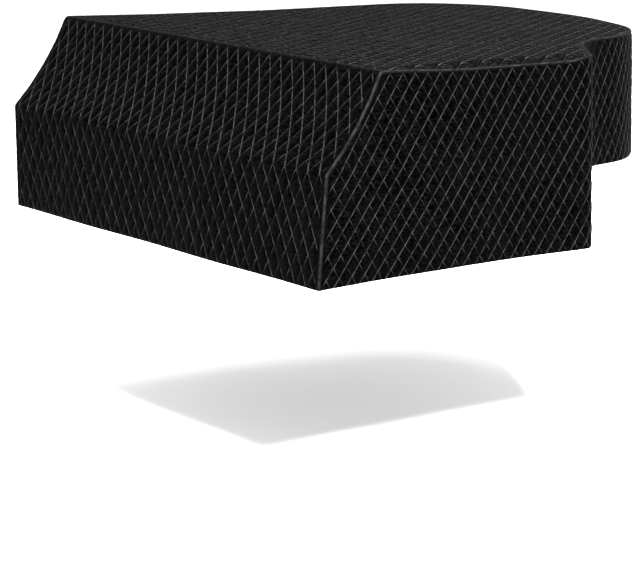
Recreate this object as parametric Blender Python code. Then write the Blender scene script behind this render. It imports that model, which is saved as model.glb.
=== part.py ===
"""Fitted quilted cover for a grand piano, in the shape it takes when worn over the closed piano.

Metres, +Z up, +X to the treble side, +Y to the tail. The origin is on the plane of the lid, under the
top panel, midway in the cover's width and length. The cloth is cut as flat panels, quilted in raised
diamonds, and sewn together over round cords.
"""

import math

import bmesh
import bpy
import numpy as np
from mathutils import Vector
from mathutils.geometry import delaunay_2d_cdt

# Overall sizes, over the stitch lines of the cloth
WIDTH = 1.500
LENGTH = 1.690
SKIRT_DEPTH = 0.533
TAIL_DEPTH = 0.368

# The front: from its seam on the lid over the lid's edge, down a sagging slope to a crease, then
# straight down to the hem
LID_SET_BACK = 0.178
FRONT_SEAM_SET_BACK = 0.190
LID_EDGE_RADIUS = 0.014
LID_EDGE_MARKS = (0.0050, 0.0115, 0.0180)
CREASE_DEPTH = 0.242
SLOPE_SAG = 0.015
SAG_SHARES = (0.25, 0.50, 0.75)
SAG_RADIUS = 0.150

# The cloth: its thickness in the stitch lines, and how far a diamond's middle rises over them
CLOTH = 0.0018
PUFF = 0.0024
SEAM_MARGIN = 0.0075
SEAM_FADE = 0.0200
GAP = 0.0003

# Width and height of one quilted diamond
TOP_DIAMOND = (0.0500, 0.0750)
SKIRT_DIAMOND = (0.0413, 0.0600)
SLOPE_DIAMOND = (0.0482, 0.0734)
DROP_DIAMOND = (0.0482, 0.0894)

# Piping cords, which stand a little proud of both cloths that they join
TOP_CORD_RADIUS = 0.0045
CORNER_CORD_RADIUS = 0.0058
CORD_PROUD = 0.0015

# Slow waves of the worn cloth: how far they swing at the hem, their lengths, and their phases in radians
SIDE_WAVE = 0.0030
FRONT_WAVE = 0.0025
SIDE_WAVE_LENGTH = 0.47
FRONT_WAVE_LENGTH = 0.62
SIDE_WAVE_PHASE = 0.6
FRONT_WAVE_PHASE = 1.9

HALF_WIDTH = WIDTH / 2
FRONT_Y = -LENGTH / 2

# Corners of the cover's outline, from the treble front corner round the tail to the bass front corner.
# Columns: x, distance behind the front drop, radius of the rounded corner
OUTLINE_CORNERS = (
    (HALF_WIDTH, 0.000, 0.000),
    (HALF_WIDTH, 0.909, 0.052),
    (0.452, 1.134, 0.350),
    (0.357, 1.503, 0.420),
    (-0.100, 1.672, 0.900),
    (-HALF_WIDTH, 1.697, 0.320),
    (-HALF_WIDTH, 0.000, 0.000),
)

# Where the hem rises from the deep front to the shallow tail: along the bent side from the treble
# front corner, and along the straight spine from the bass front corner
TREBLE_RISE = (0.935, 1.240)
BASS_RISE = (0.950, 1.300)
SKIRT_SEAM = 1.350

# How far the worn cloth strays from its straight lines. Heights of the levels: the lid, the crease and
# the hem. Distances of the stations behind the front drop: the front, the middle of the treble side,
# the treble cheek and the tail.
LEVELS = (0.0, -0.240, -0.531)
DISTANCES = (0.000, 0.480, 0.900, 1.700)
# Columns: level, station, then x, y and z on the bass side, then x, y and z on the treble side
STRAYS = (
    (0, 0, -0.006, 0.000, 0.018, 0.002, 0.000, 0.000),
    (0, 1, -0.003, 0.000, 0.006, -0.002, -0.004, 0.000),
    (0, 2, 0.000, 0.000, 0.000, -0.005, -0.008, 0.000),
    (1, 0, -0.003, -0.001, 0.003, 0.006, 0.007, -0.003),
    (1, 1, 0.000, 0.000, 0.000, 0.001, 0.002, 0.002),
    (1, 2, 0.000, 0.000, 0.000, -0.003, 0.000, 0.003),
    (1, 3, -0.004, 0.006, 0.000, 0.011, 0.010, 0.000),
    (2, 0, 0.001, 0.002, -0.006, -0.004, -0.007, -0.003),
    (2, 1, 0.000, 0.000, 0.000, -0.001, 0.000, 0.010),
    (2, 2, 0.000, 0.000, 0.000, 0.001, 0.008, 0.010),
    (2, 3, -0.008, 0.012, 0.000, 0.023, 0.020, 0.000),
)

# How many stations or columns apart the mesh bends where the cloth runs nearly straight
STRAIGHT_STATIONS = 6
BACK_COLUMNS = 8
FRONT_BACK_COLUMNS = 4
SHARP_EDGE = math.radians(30.0)

BLACK_CLOTH = (0.008, 0.008, 0.009, 1.0)
BLACK_CORD = (0.012, 0.012, 0.013, 1.0)
CLOTH_ROUGHNESS = 0.62
CORD_ROUGHNESS = 0.55


class Path:
    """A line through rounded corners in a plane, read by the distance along it."""

    ARC_STEP = math.radians(2.0)
    REACH = 0.002
    LEAST_TURN = 1e-6
    LEAST_MITRE = 0.5

    def __init__(self, corners):
        points = [Vector(corners[0][:2])]
        for before, corner, after in zip(corners, corners[1:], corners[2:]):
            points += self.arc(Vector(before[:2]), Vector(corner[:2]), Vector(after[:2]), corner[2])
        points.append(Vector(corners[-1][:2]))
        self.points = np.array([tuple(point) for point in points])
        steps = np.linalg.norm(np.diff(self.points, axis=0), axis=1)
        self.marks = np.concatenate([[0.0], np.cumsum(steps)])
        self.length = float(self.marks[-1])

    def arc(self, before, corner, after, radius):
        into = (corner - before).normalized()
        out = (after - corner).normalized()
        turn = math.atan2(into.cross(out), into.dot(out))
        if radius == 0.0 or abs(turn) < self.LEAST_TURN:
            return [corner]
        start = corner - into * radius * math.tan(abs(turn) / 2)
        left = Vector((-into.y, into.x))
        centre = start + left * math.copysign(radius, turn)
        count = max(2, math.ceil(abs(turn) / self.ARC_STEP))
        return [centre + rotated(start - centre, turn * i / count) for i in range(count + 1)]

    def at(self, distance):
        x = np.interp(distance, self.marks, self.points[:, 0])
        y = np.interp(distance, self.marks, self.points[:, 1])
        return Vector((float(x), float(y)))

    def outward(self, distance):
        """The unit vector to the right of the line, which is the cloth's outer side on every path here."""
        ahead = self.at(min(distance + self.REACH, self.length))
        behind = self.at(max(distance - self.REACH, 0.0))
        along = (ahead - behind).normalized()
        return Vector((along.y, -along.x))

    def inset(self, distances, depth):
        """Points of the line set in by this depth, with its corners kept sharp."""
        points = []
        for distance in distances:
            ahead = self.outward(min(distance + self.REACH, self.length))
            behind = self.outward(max(distance - self.REACH, 0.0))
            bisector = (ahead + behind).normalized()
            points.append(self.at(distance) - bisector * depth / max(self.LEAST_MITRE, bisector.dot(ahead)))
        return points


def rotated(vector, angle):
    cosine, sine = math.cos(angle), math.sin(angle)
    return Vector((vector.x * cosine - vector.y * sine, vector.x * sine + vector.y * cosine))


def smooth_step(value, low, high):
    part = min(1.0, max(0.0, (value - low) / (high - low)))
    return part * part * (3.0 - 2.0 * part)


def evenly(start, stop, step):
    """Marks from start to stop, both included, at about this step."""
    count = max(1, round(abs(stop - start) / step))
    return [start + (stop - start) * i / count for i in range(count + 1)]


def cord_inset(radius):
    """How far a cord's middle lies under both cloths."""
    return radius - CORD_PROUD


def seam_inset(radius):
    """How far a cloth's edge stays from the corner that it shares with a cord, clear of the cord."""
    middle = cord_inset(radius)
    return middle + math.sqrt(radius**2 - (middle - CLOTH) ** 2) + GAP


def front_profile():
    """The front's section, from the seam on the lid to the hem: distance behind the drop, height."""
    top = Vector((LID_SET_BACK, CLOTH))
    crease = Vector((0.0, CLOTH - CREASE_DEPTH))
    down = (crease - top).normalized()
    inward = Vector((-down.y, down.x))
    corners = [(FRONT_SEAM_SET_BACK, CLOTH, 0.0), (*top, LID_EDGE_RADIUS)]
    for part in SAG_SHARES:
        sagging = top.lerp(crease, part) + inward * SLOPE_SAG * 4.0 * part * (1.0 - part)
        corners.append((*sagging, SAG_RADIUS))
    corners += [(*crease, 0.0), (0.0, CLOTH - SKIRT_DEPTH, 0.0)]
    return Path(corners)


OUTLINE = Path(OUTLINE_CORNERS)
PROFILE = front_profile()
CREASE_MARK = PROFILE.length - (SKIRT_DEPTH - CREASE_DEPTH)
STATIONS = evenly(0.0, OUTLINE.length, SKIRT_DIAMOND[0] / 2)
LEAST_BEND = math.radians(0.1)


def profile_rows():
    """Marks down the front's section at half a diamond apart, with one on the crease."""
    slope = evenly(LID_EDGE_MARKS[-1], CREASE_MARK, SLOPE_DIAMOND[1] / 2)
    drop = evenly(CREASE_MARK, PROFILE.length, DROP_DIAMOND[1] / 2)
    return slope[1:] + drop[1:-1]


ROWS = profile_rows()
SEAM_MARKS = [GAP / 2, *LID_EDGE_MARKS, *ROWS, PROFILE.length]


def hem_height(along):
    """Height of the skirts' hem at this distance along the outline."""
    rise = smooth_step(along, *TREBLE_RISE) * smooth_step(OUTLINE.length - along, *BASS_RISE)
    return CLOTH - SKIRT_DEPTH + (SKIRT_DEPTH - TAIL_DEPTH) * rise


def stray_grid():
    """The table of strays as an array by level, station and side."""
    grid = np.zeros((len(LEVELS), len(DISTANCES), 2, 3))
    for level, station, *offsets in STRAYS:
        grid[level, station] = np.reshape(offsets, (2, 3))
    return grid


STRAY_GRID = stray_grid()


def share(value, marks):
    """Which two of the rising marks a value lies between, and how far along from one to the next."""
    value = min(max(value, marks[0]), marks[-1])
    after = next(i for i in range(1, len(marks)) if value <= marks[i])
    return after, (value - marks[after - 1]) / (marks[after] - marks[after - 1])


def worn(x, y, z):
    """The place of a point once the cloth has settled."""
    level, down = share(-z, [-height for height in LEVELS])
    station, back = share(y - FRONT_Y, DISTANCES)
    across = min(1.0, max(0.0, 0.5 + x / WIDTH))
    block = STRAY_GRID[level - 1 : level + 1, station - 1 : station + 1]
    block = block[0] * (1.0 - down) + block[1] * down
    block = block[0] * (1.0 - back) + block[1] * back
    stray = block[0] * (1.0 - across) + block[1] * across
    drop = max(0.0, -z) / SKIRT_DEPTH
    side = SIDE_WAVE * drop * math.sin(2.0 * math.pi * y / SIDE_WAVE_LENGTH + SIDE_WAVE_PHASE)
    front = FRONT_WAVE * drop * math.sin(2.0 * math.pi * x / FRONT_WAVE_LENGTH + FRONT_WAVE_PHASE)
    return Vector((x + side, y + front, z)) + Vector(stray)


def on_top(x, y, rise):
    return worn(x, y, CLOTH + rise)


def on_front(x, along, rise):
    place = PROFILE.at(along) + PROFILE.outward(along) * rise
    return worn(x, FRONT_Y + place.x, place.y)


def on_skirt(along, height, rise):
    place = OUTLINE.at(along) + OUTLINE.outward(along) * rise
    return worn(place.x, FRONT_Y + place.y, height)


def depth_inside(points, loop):
    """How far each point lies inside the loop, or a negative number outside it."""
    points = np.array(points, float).reshape(-1, 1, 2)
    start = np.array(loop, float)
    stop = np.roll(start, -1, axis=0)
    side = stop - start
    reach = ((points - start) * side).sum(axis=2) / (side**2).sum(axis=1)
    nearest = start + np.clip(reach, 0.0, 1.0)[:, :, None] * side
    distance = np.linalg.norm(points - nearest, axis=2).min(axis=1)
    across = (start[:, 1] > points[:, :, 1]) != (stop[:, 1] > points[:, :, 1])
    climb = np.where(side[:, 1] == 0.0, 1.0, side[:, 1])
    crossing = start[:, 0] + (points[:, :, 1] - start[:, 1]) / climb * side[:, 0]
    inside = (across & (points[:, :, 0] < crossing)).sum(axis=1) % 2 == 1
    return np.where(inside, distance, -distance)


def grid_inside(loop, columns, rows, margin):
    """The points of a grid that lie inside the loop by more than the margin: for each column and row
    number, the place and how far inside it is."""
    cells = [(i, j) for i in range(len(columns)) for j in range(len(rows))]
    places = [(columns[i], rows[j]) for i, j in cells]
    depths = depth_inside(places, loop)
    return {cell: (place, depth) for cell, place, depth in zip(cells, places, depths) if depth > margin}


def stitch_lines(cells):
    """Pairs of grid points joined by stitches: the lines between the diamonds."""
    lines = []
    for i, j in cells:
        across = ((i, j), (i + 1, j + 1)) if (i + j) % 2 == 0 else ((i, j + 1), (i + 1, j))
        if all(end in cells for end in across):
            lines.append(across)
    return lines


def puff(cell, depth):
    """Rise of a grid point: none on the stitches, full at a diamond's middle, less beside a seam."""
    if (cell[0] + cell[1]) % 2 == 0:
        return 0.0
    return PUFF * min(1.0, depth / SEAM_FADE)


def fill(loop, places, lines):
    """Triangles that fill the loop, through the places and along the lines. A line joins two points by
    their numbers in the loop and the places after it."""
    points = [Vector(point) for point in [*loop, *places]]
    edges = [(i, (i + 1) % len(loop)) for i in range(len(loop))]
    found, _, triangles, _, _, _ = delaunay_2d_cdt(points, edges + lines, [], 1, 1e-7)
    if len(found) != len(points):
        raise ValueError("a line crosses the cut edge, or two points are one")
    return triangles


def quilted_face(loop, columns, rows, smooth_rows):
    """Places, rises and triangles of the quilted face inside the loop. The smooth rows follow a bend
    beyond the quilting."""
    cells = grid_inside(loop, columns, rows, SEAM_MARGIN)
    number = {cell: len(loop) + i for i, cell in enumerate(cells)}
    stitches = [(number[a], number[b]) for a, b in stitch_lines(cells)]
    places = [place for place, _ in cells.values()]
    rises = [puff(cell, depth) for cell, (_, depth) in cells.items()]
    smooth = [(x, y) for y in smooth_rows for x in columns]
    triangles = fill(loop, places + smooth, stitches)
    return places + smooth, rises + [0.0] * len(smooth), triangles


def plain_back(loop, bends):
    """Places and triangles of the back, flat between its bends. A bend is a row of points from one cut
    edge to another."""
    points, lines = list(loop), []
    for bend in bends:
        points += [point for point in bend if point not in loop]
        numbers = [points.index(point) for point in bend]
        lines += zip(numbers, numbers[1:])
    places = points[len(loop):]
    return places, fill(loop, places, lines)


def panel(name, loop, columns, rows, on_cloth, bends=(), smooth_rows=()):
    """One quilted cloth, from its cut edge, the grid of its diamonds, and the function that puts a flat
    point and its rise in place."""
    places, rises, face = quilted_face(loop, columns, rows, smooth_rows)
    back_places, back = plain_back(loop, bends)
    points = [on_cloth(*point, 0.0) for point in loop]
    points += [on_cloth(*place, rise) for place, rise in zip(places, rises)]
    first_back = len(points)
    points += [on_cloth(*point, -CLOTH) for point in [*loop, *back_places]]
    faces = [tuple(triangle) for triangle in face]
    faces += [tuple(first_back + corner for corner in triangle) for triangle in back]
    for i in range(len(loop)):
        after = (i + 1) % len(loop)
        faces.append((i, after, first_back + after, first_back + i))

    mesh = bpy.data.meshes.new(name)
    mesh.from_pydata(points, [], faces)
    solid = bmesh.new()
    solid.from_mesh(mesh)
    bmesh.ops.recalc_face_normals(solid, faces=solid.faces)
    solid.to_mesh(mesh)
    solid.free()
    mesh.set_sharp_from_angle(angle=SHARP_EDGE)
    return mesh


def piping(name, points, radius):
    """A round cord along a line of points."""
    curve = bpy.data.curves.new(name, "CURVE")
    curve.dimensions = "3D"
    curve.bevel_depth = radius
    curve.bevel_resolution = 2
    curve.use_fill_caps = True
    spline = curve.splines.new("POLY")
    spline.points.add(len(points) - 1)
    for point, place in zip(spline.points, points):
        point.co = (*worn(*place), 1.0)
    return curve


def top_panel():
    """Cut to the outline inside the top cord, with a straight seam to the front."""
    front = FRONT_SEAM_SET_BACK + GAP / 2
    inset = seam_inset(TOP_CORD_RADIUS)
    marks = [mark for mark in STATIONS if front < mark < OUTLINE.length - front]
    rim = OUTLINE.inset([front, *marks, OUTLINE.length - front], inset)
    half_wide, half_high = TOP_DIAMOND[0] / 2, TOP_DIAMOND[1] / 2
    seam = evenly(-rim[0].x, rim[0].x, half_wide)[1:-1]
    loop = [(point.x, FRONT_Y + point.y) for point in rim]
    loop += [(x, FRONT_Y + front) for x in seam]
    reach = math.ceil(HALF_WIDTH / half_wide)
    columns = [i * half_wide for i in range(-reach, reach + 1)]
    rows = evenly(FRONT_Y + front, -FRONT_Y, half_high)
    straight = [point for mark, point in zip(marks, loop[1:]) if mark < DISTANCES[2]]
    inner = columns[BACK_COLUMNS:-BACK_COLUMNS:BACK_COLUMNS]
    bends = [[(-x, y), *[(column, y) for column in inner], (x, y)] for x, y in straight[::-STRAIGHT_STATIONS]]
    return panel("top_panel", loop, columns, rows, on_top, bends)


def front_panel():
    """One cloth over the lid's edge, down the slope and over the crease to the hem."""
    side = HALF_WIDTH - seam_inset(CORNER_CORD_RADIUS)
    half_wide = SLOPE_DIAMOND[0] / 2
    reach = math.floor(side / half_wide)
    columns = [i * half_wide for i in range(-reach, reach + 1)]
    across = [-side, *columns, side]
    loop = [(x, SEAM_MARKS[0]) for x in across]
    loop += [(side, mark) for mark in SEAM_MARKS[1:-1]]
    loop += [(x, SEAM_MARKS[-1]) for x in reversed(across)]
    loop += [(-side, mark) for mark in reversed(SEAM_MARKS[1:-1])]
    bend_columns = (-side, *columns[::FRONT_BACK_COLUMNS], side)
    bends = [[(x, mark) for x in bend_columns] for mark in SEAM_MARKS[1:-1]]
    rows = SEAM_MARKS[len(LID_EDGE_MARKS):-1]
    return panel("front_panel", loop, columns, rows, on_front, bends, LID_EDGE_MARKS[:-1])


def skirt(name, reach, along):
    """A side wall of this length from its front corner. along gives the distance along the outline
    from the distance to the wall's own front corner."""
    top = CLOTH - seam_inset(TOP_CORD_RADIUS)
    seam = PROFILE.inset(SEAM_MARKS, seam_inset(CORNER_CORD_RADIUS))
    half_wide = STATIONS[1]
    under_slope = [point.x for point in seam[1:] if point.x > seam[-1].x + half_wide / 2]
    past_slope = [mark for mark in STATIONS if seam[0].x + half_wide / 2 < mark < reach - half_wide / 2]
    marks = [*reversed(under_slope), seam[0].x + GAP, *past_slope, reach]
    hem = [(mark, hem_height(along(mark))) for mark in marks]
    loop = [*hem, *[(reach, height) for height in evenly(hem[-1][1], top, SKIRT_DIAMOND[1] / 2)[1:-1]]]
    loop += [(mark, top) for mark in reversed([seam[0].x + GAP, *past_slope, reach])]
    loop += [tuple(point) for point in seam]
    upper = {distance: height for distance, height in loop[len(hem):]}
    bends = []
    for mark, low in hem[:-1]:
        middle = [(mark, LEVELS[1])] if low < LEVELS[1] < upper[mark] and mark < DISTANCES[2] else []
        bends.append([(mark, low), *middle, (mark, upper[mark])])

    def turned(line):
        return [(along(distance), height) for distance, height in line]

    rows = evenly(top, top - SKIRT_DEPTH, SKIRT_DIAMOND[1] / 2)
    return panel(name, turned(loop), STATIONS, rows, on_skirt, [turned(bend) for bend in bends])


def top_cord():
    """Along the lid's outline, with a point at every station where it bends and a few between."""
    start, stop = FRONT_SEAM_SET_BACK + GAP, OUTLINE.length - FRONT_SEAM_SET_BACK - GAP
    kept = [mark for i, mark in enumerate(STATIONS) if i % STRAIGHT_STATIONS == 0 or outline_bends(mark)]
    marks = [mark for mark in kept if start < mark < stop]
    inset = cord_inset(TOP_CORD_RADIUS)
    line = OUTLINE.inset([start, *marks, stop], inset)
    points = [(point.x, FRONT_Y + point.y, CLOTH - inset) for point in line]
    return piping("top_cord", points, TOP_CORD_RADIUS)


def outline_bends(mark):
    """Whether the outline bends within a station of this mark."""
    before = OUTLINE.outward(max(0.0, mark - STATIONS[1]))
    after = OUTLINE.outward(min(OUTLINE.length, mark + STATIONS[1]))
    return before.angle(after) > LEAST_BEND


def corner_cord(name, side):
    """Down a front corner, from the lid over the crease to the hem."""
    inset = cord_inset(CORNER_CORD_RADIUS)
    line = PROFILE.inset(SEAM_MARKS, inset)
    points = [(side * (HALF_WIDTH - inset), FRONT_Y + point.x, point.y) for point in line]
    return piping(name, points, CORNER_CORD_RADIUS)


def cloth_material(name, colour, roughness):
    material = bpy.data.materials.new(name)
    material.use_nodes = True
    surface = material.node_tree.nodes["Principled BSDF"]
    surface.inputs["Base Color"].default_value = colour
    surface.inputs["Roughness"].default_value = roughness
    surface.inputs["Metallic"].default_value = 0.0
    return material


def clear_scene():
    for left_over in list(bpy.data.objects):
        bpy.data.objects.remove(left_over, do_unlink=True)


def build():
    clear_scene()
    parts = bpy.data.collections.new("grand_piano_cover")
    bpy.context.scene.collection.children.link(parts)
    length = OUTLINE.length
    cloths = (
        top_panel(),
        front_panel(),
        skirt("treble_skirt", length - SKIRT_SEAM - GAP / 2, lambda distance: distance),
        skirt("bass_skirt", SKIRT_SEAM - GAP / 2, lambda distance: length - distance),
    )
    cords = (top_cord(), corner_cord("treble_corner_cord", 1.0), corner_cord("bass_corner_cord", -1.0))
    for shape in cloths:
        shape.materials.append(cloth_material(shape.name, BLACK_CLOTH, CLOTH_ROUGHNESS))
        parts.objects.link(bpy.data.objects.new(shape.name, shape))
    for shape in cords:
        shape.materials.append(cloth_material(shape.name, BLACK_CORD, CORD_ROUGHNESS))
        parts.objects.link(bpy.data.objects.new(shape.name, shape))


build()
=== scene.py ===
"""Looks for the fitted quilted grand piano cover: fine quilted cloth, piping, studio and camera.

Metres, +Z up, +X to the treble side, +Y to the tail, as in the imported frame. The cloths are cut flat,
filled along their quilting, raised, and put on the same folds as the solids that they stand for.
"""

import math

import bmesh
import bpy
import numpy as np
from mathutils import Matrix, Vector
from mathutils.geometry import delaunay_2d_cdt


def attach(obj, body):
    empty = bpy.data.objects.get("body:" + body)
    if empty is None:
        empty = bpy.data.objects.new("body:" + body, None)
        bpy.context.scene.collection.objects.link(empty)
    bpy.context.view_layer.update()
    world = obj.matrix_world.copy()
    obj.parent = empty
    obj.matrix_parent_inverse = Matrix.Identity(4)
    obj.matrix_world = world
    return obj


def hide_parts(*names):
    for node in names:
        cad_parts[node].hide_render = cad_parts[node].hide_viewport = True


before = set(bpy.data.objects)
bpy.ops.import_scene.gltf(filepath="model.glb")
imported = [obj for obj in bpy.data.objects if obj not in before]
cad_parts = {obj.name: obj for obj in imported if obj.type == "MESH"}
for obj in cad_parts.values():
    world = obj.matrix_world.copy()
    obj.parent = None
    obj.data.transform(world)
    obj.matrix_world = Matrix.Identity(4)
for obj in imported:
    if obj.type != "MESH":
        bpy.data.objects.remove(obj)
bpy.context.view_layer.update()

# Overall sizes, as in the part's source
WIDTH = 1.500
LENGTH = 1.690
SKIRT_DEPTH = 0.533
TAIL_DEPTH = 0.368
LID_SET_BACK = 0.178
FRONT_SEAM_SET_BACK = 0.190
LID_EDGE_RADIUS = 0.014
LID_EDGE_MARKS = (0.0050, 0.0115, 0.0180)
CREASE_DEPTH = 0.242
SLOPE_SAG = 0.015
SAG_SHARES = (0.25, 0.50, 0.75)
SAG_RADIUS = 0.150
CLOTH = 0.0018
GAP = 0.0003
HALF_WIDTH = WIDTH / 2
FRONT_Y = -LENGTH / 2

# Width and height of one quilted diamond
TOP_DIAMOND = (0.0500, 0.0750)
SKIRT_DIAMOND = (0.0413, 0.0600)
SLOPE_DIAMOND = (0.0482, 0.0734)
DROP_DIAMOND = (0.0482, 0.0894)

# Piping cords: their radii, how far they stand proud, how far the top one laps past the front seam, the
# step along them and the sides of their section
TOP_CORD_RADIUS = 0.0045
CORNER_CORD_RADIUS = 0.0058
CORD_PROUD = 0.0015
CORD_LAP = 0.0020
CORD_STEP = 0.0050
CORD_SIDES = 14

# The gathered cloth over a cord: the pitch of its slanting creases, how they bend along it, the sizes of
# its lumps along and round it, and how much of the radius the creases and the lumps take
GATHER_PITCH = 0.021
GATHER_BEND = 2.0
GATHER_BEND_RATE = 47.0
LUMP_LENGTH = 0.013
ROUND_LENGTH = 0.02
GATHER_SHARE = 0.035
LUMP_SHARE = 0.050

# Slow waves of the worn cloth: how far they swing at the hem, their lengths, and their phases in radians
SIDE_WAVE = 0.0030
FRONT_WAVE = 0.0025
SIDE_WAVE_LENGTH = 0.47
FRONT_WAVE_LENGTH = 0.62
SIDE_WAVE_PHASE = 0.6
FRONT_WAVE_PHASE = 1.9

# Corners of the outline: x, distance behind the front drop, radius of the rounded corner. The skirts
# rise between these distances along it from either front corner, and meet where the seam is
OUTLINE_CORNERS = (
    (HALF_WIDTH, 0.000, 0.000),
    (HALF_WIDTH, 0.909, 0.052),
    (0.452, 1.134, 0.350),
    (0.357, 1.503, 0.420),
    (-0.100, 1.672, 0.900),
    (-HALF_WIDTH, 1.697, 0.320),
    (-HALF_WIDTH, 0.000, 0.000),
)
TREBLE_RISE = (0.935, 1.240)
BASS_RISE = (0.950, 1.300)
SKIRT_SEAM = 1.350

# How far the worn cloth strays from its straight lines, by level and station, bass side then treble
LEVELS = (0.0, -0.240, -0.531)
DISTANCES = (0.000, 0.480, 0.900, 1.700)
STRAYS = (
    (0, 0, -0.006, 0.000, 0.018, 0.002, 0.000, 0.000),
    (0, 1, -0.003, 0.000, 0.006, -0.002, -0.004, 0.000),
    (0, 2, 0.000, 0.000, 0.000, -0.005, -0.008, 0.000),
    (1, 0, -0.003, -0.001, 0.003, 0.006, 0.007, -0.003),
    (1, 1, 0.000, 0.000, 0.000, 0.001, 0.002, 0.002),
    (1, 2, 0.000, 0.000, 0.000, -0.003, 0.000, 0.003),
    (1, 3, -0.004, 0.006, 0.000, 0.011, 0.010, 0.000),
    (2, 0, 0.001, 0.002, -0.006, -0.004, -0.007, -0.003),
    (2, 1, 0.000, 0.000, 0.000, -0.001, 0.000, 0.010),
    (2, 2, 0.000, 0.000, 0.000, 0.001, 0.008, 0.010),
    (2, 3, -0.008, 0.012, 0.000, 0.023, 0.020, 0.000),
)

# The top's seam rolls a little over the edge on the treble side: how far down, over which x it turns,
# and the distances behind the front drop over which it begins and ends
SEAM_ROLL = 0.011
ROLL_TURN = (0.700, 0.738)
ROLL_BEGIN = (0.155, 0.497)
ROLL_END = (0.825, 0.922)

# The fine quilting: the rise of a diamond's middle and how square its section is, the steps from one
# stitch line to the next, how near the cut edge the face's and the back's mesh may come, how far in from
# a seam a diamond is full, and the longest step along a cut edge
PUFF = 0.0034
PUFF_POWER = 3.6
LATTICE_STEPS = (0.00, 0.05, 0.15, 0.32, 0.50, 0.68, 0.85, 0.95)
EDGE_MARGIN = 0.0035
BACK_MARGIN = 0.0080
SEAM_FADE = 0.0120
EDGE_STEP = 0.0070

# How much the diamonds differ in fullness and over how many of them, then the height and length of the
# two kinds of small crease and of the slow swells, and how far in from a cut edge these are full
FULLNESS_SPREAD = 0.16
FULLNESS_REACH = 1.7
UNEVENNESS = ((0.00022, 0.0065), (0.00018, 0.0120), (0.00060, 0.1100))
UNEVEN_FADE = 0.030

# Cut edges are tucked this far under the cords
SEAM_TUCK = 0.0011

# A plain band runs along some seams. Each panel gives its points a distance from that band, in widths of
# the band: the diamonds rise and the stitches show between these two distances, and the stitches keep
# this least strength. Distances above the most are kept as the most.
PLAIN_BAND = 0.0100
BAND_PUFF = (0.2, 1.6)
BAND_STITCHES = (0.4, 1.1)
LEAST_STITCHES = 0.15
MOST_BAND = 4.0

# On the rolled seam of the top, the quilting flattens out before the roll reaches this share
FLAT_ROLL = 0.21
FLAT_ROLL_RATE = 8.0

# Where the bent side turns in after the straight side, the cloth under the top's seam is pulled flat and
# its stitch lines fade there, painted shade in the recess: how far along the outline, and over what length
# and height
RECESS_PLACE = 1.31
RECESS_SIZE = (0.12, 0.06)

# Edges sharper than this are drawn as creases, and a cord steeper than this counts as upright
SHARP_EDGE = math.radians(55.0)
UPRIGHT = 0.75

# Flat points handled at a time, and the smallest distance that keeps two flat points apart
CHUNK = 4000
SAME_POINT = 1e-7

# Greys of the quilted cloth and of its thread, which also carries painted highlights on the diamonds'
# rims, how blue they are, the width of a stitch line as a share of the step to the next one, and the
# sheen:
# for the sides, then for the top, which is painted lighter for the light and sheen that fall on it
SIDE_LOOK = (0.00022, 0.025, 0.046, 0.010)
TOP_LOOK = (0.00060, 0.055, 0.050, 0.003)
CLOTH_BLUE = 1.05
THREAD_AND_HIGHLIGHT_BLUE = 1.02

# The two families of stitch lines, one lit more than the other: how strong the painted highlight on the
# rim past each is at its strongest and at its least, and how much painted shade falls on its pinched side
BRIGHT_FAMILY = (1.00, 0.70, 1.0)
DIM_FAMILY = (0.75, 0.15, 0.6)

# The quilted cloth's darkest and lightest parts against its mean grey, how far the slow patches lighten
# it, and how much finer its mottling is up and down than along
DARK_SHARE = 0.1
LIGHT_SHARE = 9.0
PATCH_SHARE = 0.12
MOTTLE_STRETCH = (1.0, 1.0, 3.0)

# Stitches from one crossing of the lines to the next
STITCHES = 9.0

# Scales of the quilted cloth's noise, by the metre: wear of the thread, mottling, slow patches, creases
# and weave
WEAR_SCALE = 75.0
MOTTLE_SCALE = 80.0
PATCH_SCALE = 9.0
CREASE_SCALE = 130.0
WEAVE_SCALE = 520.0

# Heights of the relief that its material adds, in metres: creases, weave, dents of the stitch lines and
# the thread
CREASE_HEIGHT = 0.0011
WEAVE_HEIGHT = 0.00012
DENT_HEIGHT = 0.0011
THREAD_HEIGHT = 0.0005

# The cloth over the cords: its grey and that of its crown, which is painted lighter, partly a painted
# highlight along its crest and partly wear, the scales of its mottling, of the blotches of wear, of its
# creases and weave, and the heights of the last two
CORD_GREY = 0.0020
CORD_BLUE = 1.04
CROWN_WEAR_AND_HIGHLIGHT_GREY = 0.013
CORD_MOTTLE_SCALE = 120.0
BLOTCH_SCALE = 42.0
CORD_CREASE_SCALE = 95.0
CORD_WEAVE_SCALE = 460.0
CORD_CREASE_HEIGHT = 0.0009
CORD_WEAVE_HEIGHT = 0.0001

# Studio lights: name, place, what it points at, side of the square, power in watts
LIGHTS = (
    ("key", (4.45, -2.15, 3.95), (0.2, -0.1, -0.2), 0.9, 2000.0),
    ("top", (-0.6, 0.6, 4.2), (0.0, 0.0, 0.0), 2.0, 700.0),
    ("back", (-2.6, 3.4, 5.4), (0.0, 0.0, -0.2), 1.6, 200.0),
)

# The studio floor below the hem: height, distance from its middle to a side, grey, and the glow that
# keeps the shadow pale
FLOOR_Z = -1.088
FLOOR_REACH = 40.0
FLOOR_GREY = 0.94
FLOOR_GLOW = 0.30

# Camera, fitted to the photograph: place in metres, angles in degrees, lens and sensor in millimetres
CAMERA_PLACE = (5.2965, -4.3129, 0.6706)
CAMERA_YAW = 52.687
CAMERA_PITCH = 11.810
CAMERA_ROLL = 0.828
CAMERA_LENS = 132.56
SENSOR_WIDTH = 36.0
FARTHEST = 100.0


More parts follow.
